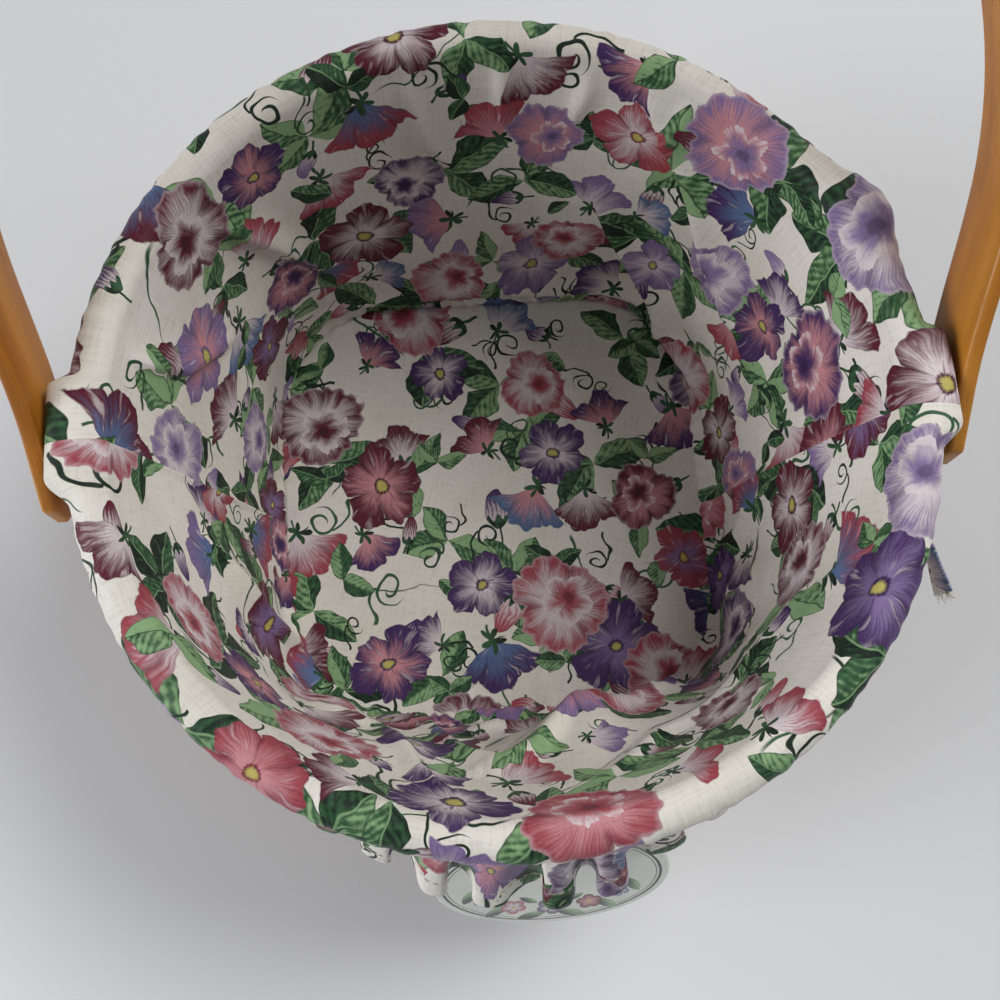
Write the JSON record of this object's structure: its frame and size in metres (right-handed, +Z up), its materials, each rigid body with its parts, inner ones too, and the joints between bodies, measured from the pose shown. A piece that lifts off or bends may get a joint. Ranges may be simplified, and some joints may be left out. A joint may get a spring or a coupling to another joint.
{
  "type": "knitting basket",
  "caption": "Round woven splint basket with a floral cloth liner and gathered skirt, a wooden swing handle and a hanging oval tag.",
  "frame": {"origin": "centre of the woven base, on its underside, where the basket stands", "axes": "+Z up towards the rim; -Y towards the hanging tag at the front; the handle turns about an axis along X"},
  "size_m": [0.261, 0.2961, 0.2413],
  "materials": {
    "splint_wood": "stained, low sheen",
    "handle_wood": "stained, satin",
    "print_cloth": "matte printed cotton",
    "elastic": "matte braid",
    "cord": "matte twisted cotton",
    "brass": "satin",
    "glazed_tag": "gloss glaze"
  },
  "bodies": {
    "basket": {"burr_washer_left": "brass", "burr_washer_right": "brass", "elastic_back": "elastic", "elastic_front": "elastic", "handle_ear_left": "splint_wood", "handle_ear_right": "splint_wood", "inner_rim_band": "splint_wood", "liner_floor": "print_cloth", "liner_wall": "print_cloth", "outer_rim_band": "splint_wood", "rivet_left": "brass", "rivet_right": "brass", "skirt_back": "print_cloth", "skirt_front": "print_cloth", "spacer_washer_left": "brass", "spacer_washer_right": "brass", "splint_crosswise_1": "splint_wood", "splint_crosswise_2": "splint_wood", "splint_crosswise_3": "splint_wood", "splint_crosswise_4": "splint_wood", "splint_crosswise_5": "splint_wood", "splint_crosswise_6": "splint_wood", "splint_crosswise_7": "splint_wood", "splint_lengthwise_1": "splint_wood", "splint_lengthwise_2": "splint_wood", "splint_lengthwise_3": "splint_wood", "splint_lengthwise_4": "splint_wood", "splint_lengthwise_5": "splint_wood", "splint_lengthwise_6": "splint_wood", "splint_lengthwise_7": "splint_wood", "tag_cord": "cord", "tie_back_left": "print_cloth", "tie_back_right": "print_cloth", "tie_end_back_left": "print_cloth", "tie_end_back_right": "print_cloth", "tie_end_front_left": "print_cloth", "tie_end_front_right": "print_cloth", "tie_front_left": "print_cloth", "tie_front_right": "print_cloth", "tie_knot_left": "print_cloth", "tie_knot_right": "print_cloth", "weaver_1": "splint_wood", "weaver_2": "splint_wood", "weaver_3": "splint_wood", "weaver_4": "splint_wood", "weaver_5": "splint_wood", "weaver_6": "splint_wood", "weaver_7": "splint_wood"},
    "swing_handle": {"handle": "handle_wood"},
    "hanging_tag": {"tag": "glazed_tag"}
  },
  "joints": [
    {"name": "handle_swing", "type": "hinge", "parent": "basket", "child": "swing_handle", "pos_m": [0, 0, 0.111], "axis": [1, 0, 0], "range_deg": [-45, 145]},
    {"name": "tag_swing", "type": "hinge", "parent": "basket", "child": "hanging_tag", "pos_m": [0.0055, -0.1162, 0.0708], "axis": [1, 0, 0], "range_deg": [-40, 40]}
  ]
}
